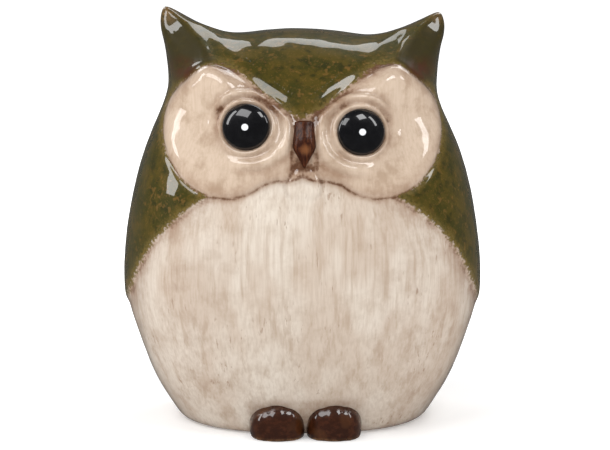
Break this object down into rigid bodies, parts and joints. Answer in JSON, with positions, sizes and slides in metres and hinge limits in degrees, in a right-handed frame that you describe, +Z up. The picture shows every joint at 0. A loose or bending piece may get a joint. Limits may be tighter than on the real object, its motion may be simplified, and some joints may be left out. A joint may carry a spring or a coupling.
{
  "type": "owl coin bank",
  "caption": "Hollow glazed ceramic owl that stands on a foot ring, with a coin slot in the back of the head and a soft pull-out stopper underneath.",
  "frame": {"origin": "centre of the base on the surface that the bank stands on", "axes": "+Z up, the owl faces -Y, +X towards the owl's left as it looks out, which is the viewer's right"},
  "size_m": [0.1318, 0.106, 0.1512],
  "materials": {
    "glazed_earthenware": "hand-painted olive, brown and cream underglaze with brown wash in the creases, under a thick clear gloss glaze",
    "eye_glaze": "black gloss glaze with a small white dot",
    "beak_glaze": "brushed dark brown gloss glaze",
    "foot_glaze": "dark brown gloss glaze",
    "stopper_rubber": "matt moulded rubber"
  },
  "bodies": {
    "body": {"body_shell": "glazed_earthenware", "left_eye": "eye_glaze", "right_eye": "eye_glaze", "beak": "beak_glaze", "left_foot": "foot_glaze", "right_foot": "foot_glaze"},
    "plug": {"stopper": "stopper_rubber"}
  },
  "joints": [
    {"name": "stopper_pull", "type": "slide", "parent": "body", "child": "plug", "axis": [0, 0, -1], "range_m": [0, 0.04]}
  ]
}
